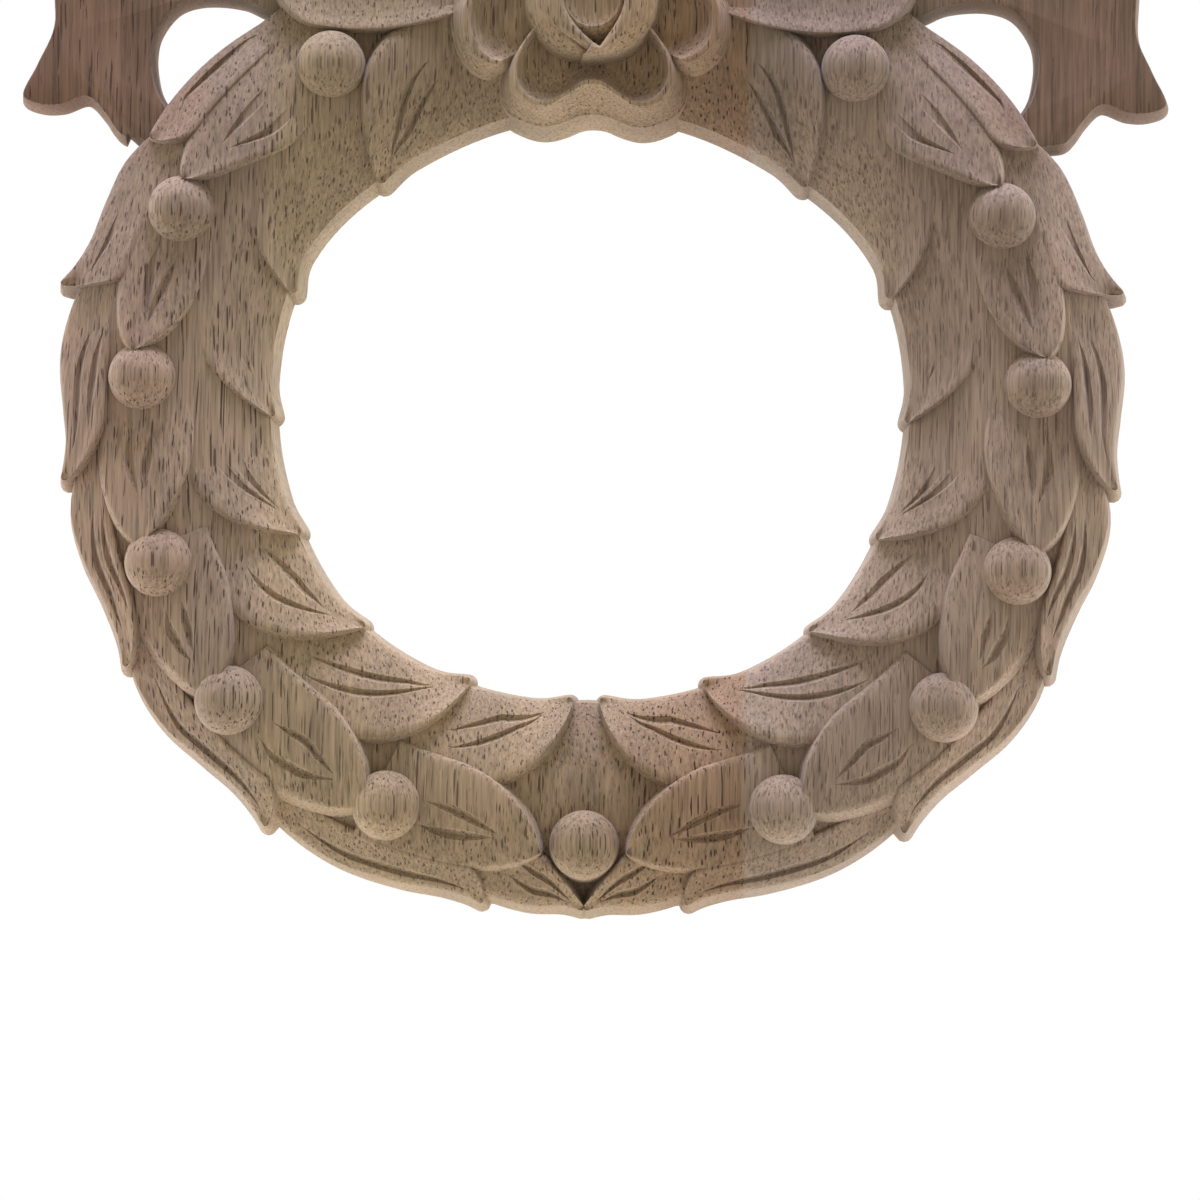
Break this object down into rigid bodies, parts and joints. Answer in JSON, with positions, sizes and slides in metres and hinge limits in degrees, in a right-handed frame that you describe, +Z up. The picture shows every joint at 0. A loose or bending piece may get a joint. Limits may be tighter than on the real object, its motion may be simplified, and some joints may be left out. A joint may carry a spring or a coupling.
{
  "type": "carved wood wreath applique",
  "caption": "Pale unpainted wood carved as a laurel wreath with berries, a rose at the top, bow loops and ribbon tails, flat at the back for gluing to furniture or a door",
  "frame": {"origin": "on the flat back, behind the middle of the rose", "axes": "+Z up along the wreath, the carving faces -Y, +X to the viewer's right as seen from the front"},
  "size_m": [0.1632, 0.019, 0.1519],
  "materials": {
    "wood": "bare machine-carved wood, unsanded and unoiled, glued up from staves of slightly different tone"
  },
  "bodies": {
    "root": {"wreath_applique": "wood"}
  },
  "joints": []
}
